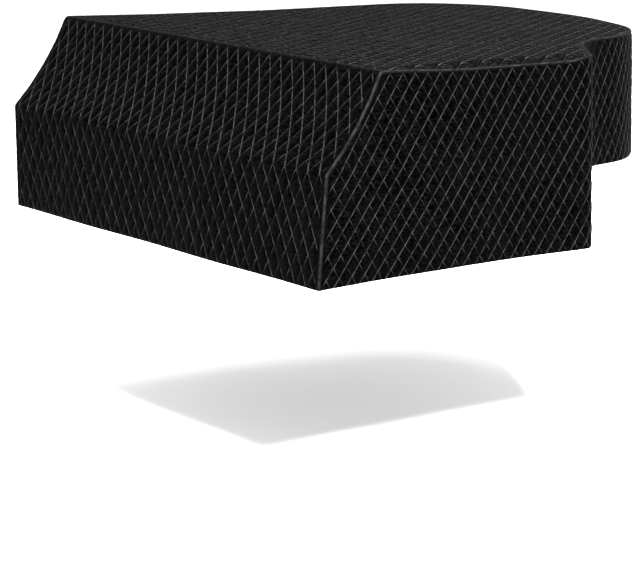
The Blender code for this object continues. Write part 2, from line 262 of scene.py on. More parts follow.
class Path:
    """A line through rounded corners in a plane, read by distances along it, many at once."""

    # The turn from one point of a rounded corner to the next, and the least turn that is rounded
    ARC_STEP = math.radians(2.0)
    LEAST_TURN = 1e-6

    # How far ahead and behind the direction is read, and how much a sharp corner may lengthen an inset
    REACH = 0.002
    LEAST_COSINE = 0.5

    def __init__(self, corners):
        points = [Vector(corners[0][:2])]
        for before, corner, after in zip(corners, corners[1:], corners[2:]):
            points += self.arc(Vector(before[:2]), Vector(corner[:2]), Vector(after[:2]), corner[2])
        points.append(Vector(corners[-1][:2]))
        self.points = np.array([tuple(point) for point in points])
        steps = np.linalg.norm(np.diff(self.points, axis=0), axis=1)
        self.marks = np.concatenate([[0.0], np.cumsum(steps)])
        self.length = float(self.marks[-1])

    def arc(self, before, corner, after, radius):
        into = (corner - before).normalized()
        out = (after - corner).normalized()
        turn = math.atan2(into.cross(out), into.dot(out))
        if radius == 0.0 or abs(turn) < self.LEAST_TURN:
            return [corner]
        start = corner - into * radius * math.tan(abs(turn) / 2)
        left = Vector((-into.y, into.x))
        centre = start + left * math.copysign(radius, turn)
        count = max(2, math.ceil(abs(turn) / self.ARC_STEP))
        return [centre + rotated(start - centre, turn * i / count) for i in range(count + 1)]

    def at(self, distances):
        x = np.interp(distances, self.marks, self.points[:, 0])
        y = np.interp(distances, self.marks, self.points[:, 1])
        return np.stack([x, y], axis=-1)

    def outward(self, distances):
        """Unit vectors to the right of the line, which is the cloth's outer side on every path here."""
        ahead = self.at(np.minimum(distances + self.REACH, self.length))
        behind = self.at(np.maximum(distances - self.REACH, 0.0))
        along = ahead - behind
        along = along / np.linalg.norm(along, axis=-1, keepdims=True)
        return np.stack([along[..., 1], -along[..., 0]], axis=-1)

    def inset(self, distances, depth):
        """Points of the line set in by this depth, with its corners kept sharp."""
        distances = np.asarray(distances, float)
        ahead = self.outward(np.minimum(distances + self.REACH, self.length))
        behind = self.outward(np.maximum(distances - self.REACH, 0.0))
        bisector = ahead + behind
        bisector = bisector / np.linalg.norm(bisector, axis=-1, keepdims=True)
        cosine = np.maximum(self.LEAST_COSINE, (bisector * ahead).sum(axis=-1, keepdims=True))
        return self.at(distances) - bisector * np.reshape(depth, (-1, 1)) / cosine


def rotated(vector, angle):
    cosine, sine = math.cos(angle), math.sin(angle)
    return Vector((vector.x * cosine - vector.y * sine, vector.x * sine + vector.y * cosine))


def smooth_step(value, low, high):
    part = np.clip((np.asarray(value, float) - low) / (high - low), 0.0, 1.0)
    return part * part * (3.0 - 2.0 * part)


def evenly(start, stop, step):
    """Marks from start to stop, both included, at about this step."""
    count = max(1, round(abs(stop - start) / step))
    return [start + (stop - start) * i / count for i in range(count + 1)]


def cord_inset(radius):
    """How far a cord's middle lies under both cloths."""
    return radius - CORD_PROUD


def seam_inset(radius):
    """How far a cloth's edge stays from the corner that it shares with a cord, clear of the cord."""
    middle = cord_inset(radius)
    return middle + math.sqrt(radius**2 - (middle - CLOTH) ** 2) + GAP


def front_profile():
    """The front's section, from the top's seam to the hem: distance behind the drop, height."""
    top = Vector((LID_SET_BACK, CLOTH))
    crease = Vector((0.0, CLOTH - CREASE_DEPTH))
    down = (crease - top).normalized()
    inward = Vector((-down.y, down.x))
    corners = [(FRONT_SEAM_SET_BACK, CLOTH, 0.0), (*top, LID_EDGE_RADIUS)]
    for part in SAG_SHARES:
        sagging = top.lerp(crease, part) + inward * SLOPE_SAG * 4.0 * part * (1.0 - part)
        corners.append((*sagging, SAG_RADIUS))
    corners += [(*crease, 0.0), (0.0, CLOTH - SKIRT_DEPTH, 0.0)]
    return Path(corners)


OUTLINE = Path(OUTLINE_CORNERS)
PROFILE = front_profile()
CREASE_MARK = PROFILE.length - (SKIRT_DEPTH - CREASE_DEPTH)
STATIONS = evenly(0.0, OUTLINE.length, SKIRT_DIAMOND[0] / 2)


def profile_rows():
    """Marks down the front's section at half a diamond apart, with one on the crease."""
    slope = evenly(LID_EDGE_MARKS[-1], CREASE_MARK, SLOPE_DIAMOND[1] / 2)
    drop = evenly(CREASE_MARK, PROFILE.length, DROP_DIAMOND[1] / 2)
    return slope[1:] + drop[1:-1]


ROWS = profile_rows()
SEAM_MARKS = [GAP / 2, *LID_EDGE_MARKS, *ROWS, PROFILE.length]


def hem_height(along):
    """Height of the skirts' hem at this distance along the outline."""
    rise = smooth_step(along, *TREBLE_RISE) * smooth_step(OUTLINE.length - along, *BASS_RISE)
    return CLOTH - SKIRT_DEPTH + (SKIRT_DEPTH - TAIL_DEPTH) * rise


def stray_grid():
    """The table of strays as an array by level, station and side."""
    grid = np.zeros((len(LEVELS), len(DISTANCES), 2, 3))
    for level, station, *offsets in STRAYS:
        grid[level, station] = np.reshape(offsets, (2, 3))
    return grid


STRAY_GRID = stray_grid()


def share(values, marks):
    """For each value, the mark after it and how far along from the one before it."""
    values = np.clip(values, marks[0], marks[-1])
    after = np.clip(np.searchsorted(marks, values), 1, len(marks) - 1)
    marks = np.asarray(marks, float)
    return after, ((values - marks[after - 1]) / (marks[after] - marks[after - 1]))[:, None]


def rolled(x, y):
    """How far the top's seam has rolled over the edge here, from 0 to 1."""
    along = smooth_step(y - FRONT_Y, *ROLL_BEGIN) * (1.0 - smooth_step(y - FRONT_Y, *ROLL_END))
    return smooth_step(x, *ROLL_TURN) * along


def worn(points):
    """The places of points once the cloth has settled."""
    x, y, z = points.T
    level, down = share(-z, [-height for height in LEVELS])
    station, back = share(y - FRONT_Y, DISTANCES)
    across = np.clip(0.5 + x / WIDTH, 0.0, 1.0)[:, None]

    def side(number):
        upper = STRAY_GRID[level - 1, station - 1, number] * (1.0 - back)
        upper = upper + STRAY_GRID[level - 1, station, number] * back
        lower = STRAY_GRID[level, station - 1, number] * (1.0 - back)
        lower = lower + STRAY_GRID[level, station, number] * back
        return upper * (1.0 - down) + lower * down

    stray = side(0) * (1.0 - across) + side(1) * across
    drop = np.maximum(0.0, -z) / SKIRT_DEPTH
    roll = rolled(x, y) * np.clip(1.0 + z / CREASE_DEPTH, 0.0, 1.0)
    wave = np.zeros_like(points)
    wave[:, 2] = -SEAM_ROLL * roll
    wave[:, 0] = SIDE_WAVE * drop * np.sin(2.0 * math.pi * y / SIDE_WAVE_LENGTH + SIDE_WAVE_PHASE)
    wave[:, 1] = FRONT_WAVE * drop * np.sin(2.0 * math.pi * x / FRONT_WAVE_LENGTH + FRONT_WAVE_PHASE)
    return points + stray + wave


def on_top(flat, rise):
    return worn(np.column_stack([flat, CLOTH + rise]))


def on_front(flat, rise):
    place = PROFILE.at(flat[:, 1]) + PROFILE.outward(flat[:, 1]) * rise[:, None]
    return worn(np.column_stack([flat[:, 0], FRONT_Y + place[:, 0], place[:, 1]]))


def on_skirt(flat, rise):
    place = OUTLINE.at(flat[:, 0]) + OUTLINE.outward(flat[:, 0]) * rise[:, None]
    return worn(np.column_stack([place[:, 0], FRONT_Y + place[:, 1], flat[:, 1]]))


def depth_inside(points, loop):
    """How far each point lies inside the loop, or a negative number outside it."""
    start = np.array(loop, float)
    stop = np.roll(start, -1, axis=0)
    side = stop - start
    climb = np.where(side[:, 1] == 0.0, 1.0, side[:, 1])
    depths = []
    for some in np.array_split(points, max(1, len(points) // CHUNK)):
        some = some.reshape(-1, 1, 2)
        reach = ((some - start) * side).sum(axis=2) / (side**2).sum(axis=1)
        nearest = start + np.clip(reach, 0.0, 1.0)[:, :, None] * side
        distance = np.linalg.norm(some - nearest, axis=2).min(axis=1)
        across = (start[:, 1] > some[:, :, 1]) != (stop[:, 1] > some[:, :, 1])
        crossing = start[:, 0] + (some[:, :, 1] - start[:, 1]) / climb * side[:, 0]
        inside = (across & (some[:, :, 0] < crossing)).sum(axis=1) % 2 == 1
        depths.append(np.where(inside, distance, -distance))
    return np.concatenate(depths)


class Quilting:
    """The diamonds of one cloth. Its columns and rows are half a diamond apart, and the stitches run
    through every second crossing of them."""

    def __init__(self, columns, rows):
        self.columns = np.array(columns, float)
        self.rows = np.array(rows, float)

    def flat(self, turns):
        """Flat points of lattice turns, where each stitch line has a whole number."""
        i = turns[:, 0] + turns[:, 1]
        j = turns[:, 0] - turns[:, 1]
        return np.column_stack([stretched(i, self.columns), stretched(j, self.rows)])

    def turns(self, flat):
        """Lattice turns of flat points."""
        i = unstretched(flat[:, 0], self.columns)
        j = unstretched(flat[:, 1], self.rows)
        return np.column_stack([(i + j) / 2, (i - j) / 2])

    def grid(self, more_rows):
        """Every crossing of a column and a row, also of the rows that lie beyond the quilting."""
        x, y = np.meshgrid(self.columns, [*more_rows, *self.rows])
        return np.column_stack([x.ravel(), y.ravel()])

    def lattice(self):
        """Every fine lattice point over the whole cloth."""
        reach = len(self.columns) + len(self.rows)
        marks = np.concatenate([np.array(LATTICE_STEPS) + i for i in range(-reach, reach)])
        first, second = np.meshgrid(marks, marks)
        turns = np.column_stack([first.ravel(), second.ravel()])
        i = turns[:, 0] + turns[:, 1]
        j = turns[:, 0] - turns[:, 1]
        kept = (i > -2) & (i < len(self.columns) + 1) & (j > -2) & (j < len(self.rows) + 1)
        return turns[kept]


def stretched(numbers, marks):
    """Places of fractional mark numbers, going on evenly past the ends."""
    low = np.clip(np.floor(numbers).astype(int), 0, len(marks) - 2)
    return marks[low] + (numbers - low) * (marks[low + 1] - marks[low])


def unstretched(places, marks):
    """Fractional mark numbers of places."""
    rising = marks if marks[-1] > marks[0] else -marks
    places = places if marks[-1] > marks[0] else -places
    low = np.clip(np.searchsorted(rising, places) - 1, 0, len(marks) - 2)
    return low + (places - rising[low]) / (rising[low + 1] - rising[low])


def arch(turn):
    """Rise between two stitch lines, from 0 on them to 1 midway."""
    off = 2.0 * np.abs(turn - np.round(turn))
    return 1.0 - (1.0 - off) ** PUFF_POWER


def value_noise(points, scale, seed):
    """Smooth seeded noise from -1 to 1 over flat points."""
    places = points / scale
    cell = np.floor(places).astype(int)
    part = places - cell
    part = part * part * (3.0 - 2.0 * part)

    def corner(dx, dy):
        number = (cell[:, 0] + dx) * 374761393 + (cell[:, 1] + dy) * 668265263 + seed * 69069
        number = (number ^ (number >> 13)) * 1274126177
        return ((number ^ (number >> 16)) & 0xFFFF) / 32767.5 - 1.0

    low = corner(0, 0) * (1 - part[:, 0]) + corner(1, 0) * part[:, 0]
    high = corner(0, 1) * (1 - part[:, 0]) + corner(1, 1) * part[:, 0]
    return low * (1 - part[:, 1]) + high * part[:, 1]


def relief(flat, turns, depth, band, seed):
    """Rise of the quilted face: its diamonds, each a little different, their small creases, and slow
    unevenness."""
    middles = np.floor(turns) + 0.5
    fullness = 1.0 + FULLNESS_SPREAD * value_noise(middles, FULLNESS_REACH, seed)
    puff = PUFF * fullness * arch(turns[:, 0]) * arch(turns[:, 1])
    uneven = np.zeros(len(flat))
    for number, (height, length) in enumerate(UNEVENNESS, 1):
        uneven += height * value_noise(flat, length, seed + number)
    fade = np.clip(depth / SEAM_FADE, 0.0, 1.0)
    fade = fade * (2.0 - fade) * smooth_step(band, *BAND_PUFF)
    return puff * fade + uneven * np.clip(depth / UNEVEN_FADE, 0.0, 1.0)


def finer(loop, step):
    """The loop with points added so that none are further apart than the step."""
    points = []
    for start, stop in zip(loop, [*loop[1:], loop[0]]):
        run = (stop[0] - start[0], stop[1] - start[1])
        count = max(1, math.ceil(math.hypot(*run) / step))
        points += [(start[0] + run[0] * i / count, start[1] + run[1] * i / count) for i in range(count)]
    return points


def fill(loop, places):
    """Triangles that fill the loop, through the places."""
    points = [Vector(point) for point in [*loop, *places]]
    edges = [(i, (i + 1) % len(loop)) for i in range(len(loop))]
    found, _, triangles, _, _, _ = delaunay_2d_cdt(points, edges, [], 1, SAME_POINT)
    if len(found) != len(points):
        raise ValueError("two points are one, or the cut edge crosses itself")
    return triangles


def panel(name, loop, quilting, on_cloth, band, seed, more_rows=(), bright_second=False):
    """One quilted cloth with fine relief on its face and a plain back, which also bends in more rows than
    the quilting has. band gives how far flat points are from a plain band, in widths of it, and
    bright_second says which family of stitch lines is the brighter one, with the stronger painted
    highlight as the light falls on that panel."""
    turns = quilting.lattice()
    flat = quilting.flat(turns)
    depth = depth_inside(flat, loop)
    kept = depth > EDGE_MARGIN
    turns, flat, depth = turns[kept], flat[kept], depth[kept]
    rim = finer(loop, EDGE_STEP)
    face = fill(rim, flat)
    grid = quilting.grid(more_rows)
    grid = grid[depth_inside(grid, loop) > BACK_MARGIN]
    back = fill(rim, grid)

    rim_flat = np.array(rim)
    rises = relief(flat, turns, depth, band(flat), seed)
    back_flat = np.concatenate([rim_flat, grid])
    points = np.concatenate([
        on_cloth(rim_flat, np.zeros(len(rim))),
        on_cloth(flat, rises),
        on_cloth(back_flat, np.full(len(back_flat), -CLOTH)),
    ])
    first_back = len(rim) + len(flat)
    faces = [tuple(triangle) for triangle in face]
    faces += [tuple(first_back + corner for corner in triangle) for triangle in back]
    for i in range(len(rim)):
        after = (i + 1) % len(rim)
        faces.append((i, after, first_back + after, first_back + i))
    all_flat = np.concatenate([rim_flat, flat, back_flat])
    places = quilting.turns(all_flat)
    if bright_second:
        places = -places[:, ::-1]
    piece = solid_piece(name, points, faces, places)
    piece.data.set_sharp_from_angle(angle=SHARP_EDGE)
    plain = piece.data.attributes.new("band", "FLOAT", "POINT")
    plain.data.foreach_set("value", np.clip(band(all_flat), 0.0, MOST_BAND).astype(np.float32))
    return piece


def solid_piece(name, points, faces, places):
    """A closed smooth mesh, with these flat places kept as its coordinates for the quilting."""
    mesh = bpy.data.meshes.new(name)
    mesh.from_pydata(points.tolist(), [], faces)
    solid = bmesh.new()
    solid.from_mesh(mesh)
    bmesh.ops.recalc_face_normals(solid, faces=solid.faces)
    solid.to_mesh(mesh)
    solid.free()
    mesh.shade_smooth()
    corners = np.empty(len(mesh.loops), int)
    mesh.loops.foreach_get("vertex_index", corners)
    mesh.uv_layers.new(name="quilt").data.foreach_set("uv", places[corners].astype(np.float32).ravel())
    piece = bpy.data.objects.new(name, mesh)
    bpy.context.scene.collection.objects.link(piece)
    return piece


def top_panel():
    front = FRONT_SEAM_SET_BACK
    marks = [mark for mark in STATIONS if front < mark < OUTLINE.length - front]
    inset = seam_inset(TOP_CORD_RADIUS) - SEAM_TUCK
    rim = OUTLINE.inset([front, *marks, OUTLINE.length - front], inset)
    half_wide, half_high = TOP_DIAMOND[0] / 2, TOP_DIAMOND[1] / 2
    loop = [(float(x), float(FRONT_Y + y)) for x, y in rim]
    reach = math.ceil(HALF_WIDTH / half_wide)
    columns = [i * half_wide for i in range(-reach, reach + 1)]
    rows = evenly(FRONT_Y + front, -FRONT_Y, half_high)

    def band(flat):
        from_roll = FLAT_ROLL_RATE * np.maximum(FLAT_ROLL - rolled(*flat.T), 0.0)
        return np.minimum(depth_inside(flat, loop) / SEAM_FADE, from_roll)

    return panel("top_quilting", loop, Quilting(columns, rows), on_top, band, 11)


def front_panel():
    side = HALF_WIDTH - seam_inset(CORNER_CORD_RADIUS) + SEAM_TUCK
    half_wide = SLOPE_DIAMOND[0] / 2
    reach = math.floor(side / half_wide)
    columns = [i * half_wide for i in range(-reach, reach + 1)]
    loop = [(-side, 0.0), (side, 0.0)]
    loop += [(side, mark) for mark in SEAM_MARKS[1:-1]]
    loop += [(side, SEAM_MARKS[-1]), (-side, SEAM_MARKS[-1])]
    loop += [(-side, mark) for mark in reversed(SEAM_MARKS[1:-1])]

    def band(flat):
        return np.minimum(side - np.abs(flat[:, 0]), flat[:, 1] - LID_EDGE_MARKS[1]) / PLAIN_BAND

    quilting = Quilting(columns, [LID_EDGE_MARKS[-1], *ROWS])
    return panel("front_quilting", loop, quilting, on_front, band, 23, LID_EDGE_MARKS[:-1], True)


def skirt(name, reach, along, seed):
    """A side wall from its front corner round to its reach. along turns a distance from that corner into
    one along the outline."""
    top = CLOTH - seam_inset(TOP_CORD_RADIUS) + SEAM_TUCK
    inset = seam_inset(CORNER_CORD_RADIUS) - SEAM_TUCK
    seam = [(float(x), float(z)) for x, z in PROFILE.inset([0.0, *SEAM_MARKS[1:]], inset)]
    half_wide = STATIONS[1]
    under_slope = [x for x, _ in seam[1:] if x > seam[-1][0] + half_wide / 2]
    past_slope = [mark for mark in STATIONS if seam[0][0] + half_wide / 2 < mark < reach - half_wide / 2]
    marks = [*reversed(under_slope), seam[0][0] + GAP, *past_slope, reach]
    hem = [(mark, float(hem_height(along(mark)))) for mark in marks]
    loop = [*hem, *[(reach, height) for height in evenly(hem[-1][1], top, SKIRT_DIAMOND[1] / 2)[1:-1]]]
    loop += [(mark, top) for mark in reversed([seam[0][0] + GAP, *past_slope, reach])]
    loop += seam
    loop = [(along(distance), height) for distance, height in loop]
    corner = [(along(distance), height) for distance, height in seam]

    def band(flat):
        # Near the recess the diamonds flatten and the stitch lines fade, painted shade where the bent side
        # turns in
        from_recess = np.hypot((flat[:, 0] - RECESS_PLACE) / RECESS_SIZE[0], flat[:, 1] / RECESS_SIZE[1])
        return np.minimum(line_distance(flat, corner) / PLAIN_BAND, from_recess)

    rows = evenly(top, top - SKIRT_DEPTH, SKIRT_DIAMOND[1] / 2)
    return panel(name, loop, Quilting(STATIONS, rows), on_skirt, band, seed)


def line_distance(points, line):
    """How far each point is from the line through these places."""
    start = np.array(line[:-1], float)
    side = np.array(line[1:], float) - start
    distances = []
    for some in np.array_split(points, max(1, len(points) // CHUNK)):
        some = some.reshape(-1, 1, 2)
        reach = ((some - start) * side).sum(axis=2) / (side**2).sum(axis=1)
        nearest = start + np.clip(reach, 0.0, 1.0)[:, :, None] * side
        distances.append(np.linalg.norm(some - nearest, axis=2).min(axis=1))
    return np.concatenate(distances)


def tube(name, line, radii, crest):
    """A tube along a line of points, with a radius at each, closed by flat ends. crest is the direction
    in which it stands proud of the cloths at each point."""
    ahead = np.gradient(line, axis=0)
    ahead = ahead / np.linalg.norm(ahead, axis=1, keepdims=True)
    upright = np.abs(ahead[:, 2:3]) > UPRIGHT
    up = np.where(upright, np.array([[0.0, 1.0, 0.0]]), np.array([[0.0, 0.0, 1.0]]))
    across = np.cross(ahead, up)
    for i in range(1, len(across)):
        flat = across[i - 1] - ahead[i] * (across[i - 1] @ ahead[i])
        across[i] = flat / np.linalg.norm(flat)
    across = across / np.linalg.norm(across, axis=1, keepdims=True)
    other = np.cross(across, ahead)
    sides = CORD_SIDES
    angles = np.linspace(0.0, 2.0 * math.pi, sides, endpoint=False)
    ring = across[:, None] * np.cos(angles)[None, :, None] + other[:, None] * np.sin(angles)[None, :, None]
    points = (line[:, None] + ring * radii).reshape(-1, 3)
    faces = []
    for i in range(len(line) - 1):
        this = i * sides
        next_one = this + sides
        for k in range(sides):
            after = (k + 1) % sides
            faces.append((this + k, this + after, next_one + after, next_one + k))
    faces.append(tuple(range(sides)))
    faces.append(tuple(reversed(range((len(line) - 1) * sides, len(line) * sides))))
    steps = np.concatenate([[0.0], np.cumsum(np.linalg.norm(np.diff(line, axis=0), axis=1))])
    places = np.column_stack([np.repeat(steps, sides), np.tile(angles / (2.0 * math.pi), len(line))])
    piece = solid_piece(name, points, faces, places)
    crest = crest / np.linalg.norm(crest, axis=1, keepdims=True)
    crown = piece.data.attributes.new("crown", "FLOAT", "POINT")
    crown.data.foreach_set("value", np.einsum("ijk,ik->ij", ring, crest).ravel().astype(np.float32))
    return piece


def gathered(marks, radius, seed):
    """Radii round a cord whose cloth is slightly gathered: shallow slanting creases along it."""
    marks = np.asarray(marks)[:, None]
    around = np.arange(CORD_SIDES)[None, :] / CORD_SIDES
    bend = GATHER_BEND * np.sin(marks * GATHER_BEND_RATE + seed)
    slanting = np.sin(2.0 * math.pi * (marks / GATHER_PITCH + around) + bend)
    shape = slanting.shape
    flat = np.column_stack([
        np.broadcast_to(marks, shape).ravel(),
        np.broadcast_to(around * ROUND_LENGTH, shape).ravel(),
    ])
    lumps = value_noise(flat, LUMP_LENGTH, seed).reshape(shape)
    return radius * (1.0 + GATHER_SHARE * slanting + LUMP_SHARE * lumps)[:, :, None]


def top_cord():
    start, stop = FRONT_SEAM_SET_BACK - CORD_LAP, OUTLINE.length - FRONT_SEAM_SET_BACK + CORD_LAP
    marks = np.array(evenly(start, stop, CORD_STEP))
    inset = cord_inset(TOP_CORD_RADIUS)
    line = OUTLINE.inset(marks, inset)
    line = worn(np.column_stack([line[:, 0], FRONT_Y + line[:, 1], np.full(len(line), CLOTH - inset)]))
    crest = np.column_stack([OUTLINE.outward(marks), np.ones(len(line))])
    return tube("top_piping", line, gathered(marks, TOP_CORD_RADIUS, 5), crest)


def corner_cord(name, side, seed):
    marks = np.array(finer_marks(SEAM_MARKS, CORD_STEP))
    inset = cord_inset(CORNER_CORD_RADIUS)
    line = PROFILE.inset(marks, inset)
    across = np.full(len(line), side * (HALF_WIDTH - inset))
    line = worn(np.column_stack([across, FRONT_Y + line[:, 0], line[:, 1]]))
    outward = PROFILE.outward(marks)
    crest = np.column_stack([np.full(len(line), side), outward])
    return tube(name, line, gathered(marks, CORNER_CORD_RADIUS, seed), crest)


def finer_marks(marks, step):
    """The marks with more between them, so that none are much further apart than the step."""
    result = []
    for start, stop in zip(marks, marks[1:]):
        result += evenly(start, stop, step)[:-1]
    return [*result, marks[-1]]


class Nodes:
    """Short calls for building one material's node tree."""

    def __init__(self, name):
        self.material = bpy.data.materials.new(name)
        self.material.use_nodes = True
        self.tree = self.material.node_tree
        self.surface = self.tree.nodes["Principled BSDF"]

    def node(self, kind, **settings):
        made = self.tree.nodes.new(kind)
        for name, value in settings.items():
            setattr(made, name, value)
        return made

    def link(self, source, target):
        self.tree.links.new(source, target)

    def maths(self, operation, first, second=None, third=None):
        made = self.node("ShaderNodeMath", operation=operation)
        for socket, value in zip(made.inputs, (first, second, third)):
            if value is None:
                continue
            if isinstance(value, (int, float)):
                socket.default_value = value
            else:
                self.link(value, socket)
        return made.outputs[0]

    def ramp(self, value, low, high, start=0.0, stop=1.0):
        """Value mapped from low..high to start..stop, smoothly, and held beyond them."""
        made = self.node("ShaderNodeMapRange", interpolation_type="SMOOTHSTEP")
        self.link(value, made.inputs["Value"])
        made.inputs["From Min"].default_value = low
        made.inputs["From Max"].default_value = high
        made.inputs["To Min"].default_value = start
        made.inputs["To Max"].default_value = stop
        return made.outputs["Result"]

    def noise(self, vector, scale, detail=2.0, roughness=0.5):
        made = self.node("ShaderNodeTexNoise")
        self.link(vector, made.inputs["Vector"])
        made.inputs["Scale"].default_value = scale
        made.inputs["Detail"].default_value = detail
        made.inputs["Roughness"].default_value = roughness
        return made.outputs["Fac"]

    def weave(self, vector, scale, distortion):
        """Fine slanting threads, from 0 to 1."""
        made = self.node("ShaderNodeTexWave", wave_type="BANDS", bands_direction="DIAGONAL")
        self.link(vector, made.inputs["Vector"])
        made.inputs["Scale"].default_value = scale
        made.inputs["Distortion"].default_value = distortion
        return made.outputs["Fac"]

    def raised(self, height, strength):
        """Bumps the surface by this height in metres."""
        bump = self.node("ShaderNodeBump")
        bump.inputs["Strength"].default_value = strength
        bump.inputs["Distance"].default_value = 1.0
        self.link(height, bump.inputs["Height"])
        self.link(bump.outputs["Normal"], self.surface.inputs["Normal"])

    def mixed(self, factor, first, second):
        made = self.node("ShaderNodeMix", data_type="RGBA")
        self.link(factor, made.inputs[0])
        for socket, value in ((made.inputs[6], first), (made.inputs[7], second)):
            if isinstance(value, tuple):
                socket.default_value = value
            else:
                self.link(value, socket)
        return made.outputs[2]


def grey(value, tint=1.0):
    return (value, value, value * tint, 1.0)


def scaled(colour, share):
    return tuple(part * share for part in colour[:3]) + (1.0,)


def quilted_cloth(name, cloth, thread_and_highlight, line_width, sheen):
    """Black woven cloth with stitched lines: the colour of cloth and thread, painted highlights on the
    diamonds' rims and painted shade beside the lines, the weave, small creases and the stitches' dents."""
    made = Nodes(name)
    lattice = made.node("ShaderNodeUVMap", uv_map="quilt").outputs["UV"]
    place = made.node("ShaderNodeTexCoord").outputs["Object"]
    split = made.node("ShaderNodeSeparateXYZ")
    made.link(lattice, split.inputs[0])

    def past_line(turn):
        """How far past its nearest stitch line a place is, from -0.5 to 0.5."""
        return made.maths("SUBTRACT", turn, made.maths("ROUND", turn))

    def rim(past, other, family):
        """A painted highlight on each diamond's rim just past a line, where the light catches it,
        strongest at one of the diamond's corners.
        """
        strength, least, _ = family
        line = made.ramp(made.maths("ABSOLUTE", made.maths("SUBTRACT", past, line_width * 0.5)),
                         line_width * 0.35, line_width, strength, 0.0)
        fading = made.ramp(made.maths("FRACT", other), 0.05, 0.95, 1.0, least)
        return made.maths("MULTIPLY", line, fading)

    def painted_shade(past, family):
        """Painted shade on the side of a stitch line that turns from the light."""
        before = made.ramp(past, line_width * -3.6, line_width * -1.0)
        after = made.ramp(past, line_width * 0.5, line_width * 2.0, 1.0, 0.0)
        return made.maths("MULTIPLY", made.maths("MULTIPLY", before, after), family[2])

    first_past = past_line(split.outputs["X"])
    second_past = past_line(split.outputs["Y"])
    first = made.maths("ABSOLUTE", first_past)
    second = made.maths("ABSOLUTE", second_past)
    nearest = made.maths("MINIMUM", first, second)
    # The rims' painted highlight, drawn in the thread's colour, one family lit more than the other
    first_rim = rim(first_past, split.outputs["Y"], BRIGHT_FAMILY)
    second_rim = rim(second_past, split.outputs["X"], DIM_FAMILY)
    thread_and_highlight_line = made.maths("MAXIMUM", first_rim, second_rim)
    dent = made.ramp(nearest, 0.0, line_width * 1.8, 0.0, 1.0)
    on_first = made.maths("LESS_THAN", first, second)
    along = made.node("ShaderNodeMix", data_type="FLOAT")
    made.link(on_first, along.inputs[0])
    made.link(split.outputs["X"], along.inputs[2])
    made.link(split.outputs["Y"], along.inputs[3])
    stitch = made.maths("FRACT", made.maths("MULTIPLY", along.outputs[0], STITCHES))
    stitch = made.maths("ABSOLUTE", made.maths("SUBTRACT", stitch, 0.5))
    dash = made.ramp(stitch, 0.34, 0.46, 1.0, 0.35)
    worn_line = made.ramp(made.noise(place, WEAR_SCALE, 3.0, 0.6), 0.36, 0.60, 0.25, 1.0)
    thread_and_highlight_mask = made.maths("MULTIPLY", made.maths("MULTIPLY", thread_and_highlight_line, dash), worn_line)
    band = made.node("ShaderNodeAttribute", attribute_name="band").outputs["Fac"]
    thread_and_highlight_mask = made.maths("MULTIPLY", thread_and_highlight_mask, made.ramp(band, *BAND_STITCHES, LEAST_STITCHES, 1.0))

    level = made.node("ShaderNodeMapping")
    level.inputs["Scale"].default_value = MOTTLE_STRETCH
    made.link(place, level.inputs["Vector"])
    mottle = made.noise(level.outputs["Vector"], MOTTLE_SCALE, 3.0, 0.62)
    patches = made.noise(place, PATCH_SCALE, 3.0)
    shade = made.ramp(mottle, 0.43, 0.70)
    dark = scaled(cloth, DARK_SHARE)
    light = scaled(cloth, LIGHT_SHARE)
    colour = made.mixed(shade, dark, light)
    faded = made.mixed(made.ramp(patches, 0.35, 0.7, 0.0, PATCH_SHARE), colour, light)
    # Painted shade darkens the cloth on the dark side of each stitch line
    shaded = made.maths("MAXIMUM", painted_shade(first_past, BRIGHT_FAMILY), painted_shade(second_past, DIM_FAMILY))
    with_painted_shade = made.mixed(shaded, faded, dark)
    made.link(made.mixed(thread_and_highlight_mask, with_painted_shade, thread_and_highlight), made.surface.inputs["Base Color"])

    height = made.maths("MULTIPLY", made.noise(place, CREASE_SCALE, 4.0, 0.6), CREASE_HEIGHT)
    height = made.maths("MULTIPLY_ADD", made.weave(place, WEAVE_SCALE, 1.5), WEAVE_HEIGHT, height)
    height = made.maths("MULTIPLY_ADD", dent, DENT_HEIGHT, height)
    height = made.maths("MULTIPLY_ADD", thread_and_highlight_mask, THREAD_HEIGHT, height)
    made.raised(height, 0.8)
    rough = made.ramp(mottle, 0.3, 0.7, 0.46, 0.34)
    made.link(rough, made.surface.inputs["Roughness"])
    made.surface.inputs["Specular IOR Level"].default_value = 0.0015
    made.surface.inputs["Sheen Weight"].default_value = sheen
    made.surface.inputs["Sheen Roughness"].default_value = 0.3
    made.surface.inputs["Sheen Tint"].default_value = grey(0.9)
    return made.material


def cord_cloth(name, cloth, crown_wear_and_highlight):
    """Bias-cut black cloth over a cord, with slanting weave and a crown painted lighter, partly as a
    painted highlight along its crest and partly as uneven wear.
    """
    made = Nodes(name)
    place = made.node("ShaderNodeTexCoord").outputs["Object"]
    mottle = made.noise(place, CORD_MOTTLE_SCALE, 3.0, 0.6)
    blotches = made.noise(place, BLOTCH_SCALE, 3.0, 0.6)
    crown = made.node("ShaderNodeAttribute", attribute_name="crown").outputs["Fac"]
    wear = made.ramp(blotches, 0.40, 0.62, 0.25, 1.0)
    # The crown painted lighter: partly a painted highlight along the crest, partly uneven wear
    painted_light = made.maths("MULTIPLY", made.ramp(crown, 0.76, 1.0), wear)
    colour = made.mixed(made.ramp(mottle, 0.3, 0.7), scaled(cloth, 0.55), scaled(cloth, 1.6))
    made.link(made.mixed(painted_light, colour, crown_wear_and_highlight), made.surface.inputs["Base Color"])
    creases = made.noise(place, CORD_CREASE_SCALE, 3.0, 0.55)
    threads = made.weave(place, CORD_WEAVE_SCALE, 1.0)
    height = made.maths("MULTIPLY", creases, CORD_CREASE_HEIGHT)
    height = made.maths("MULTIPLY_ADD", threads, CORD_WEAVE_HEIGHT, height)
    made.raised(height, 0.7)
    made.link(made.ramp(mottle, 0.3, 0.7, 0.60, 0.46), made.surface.inputs["Roughness"])
    made.surface.inputs["Specular IOR Level"].default_value = 0.006
    made.surface.inputs["Sheen Weight"].default_value = 0.0
    made.surface.inputs["Sheen Roughness"].default_value = 0.4
    return made.material


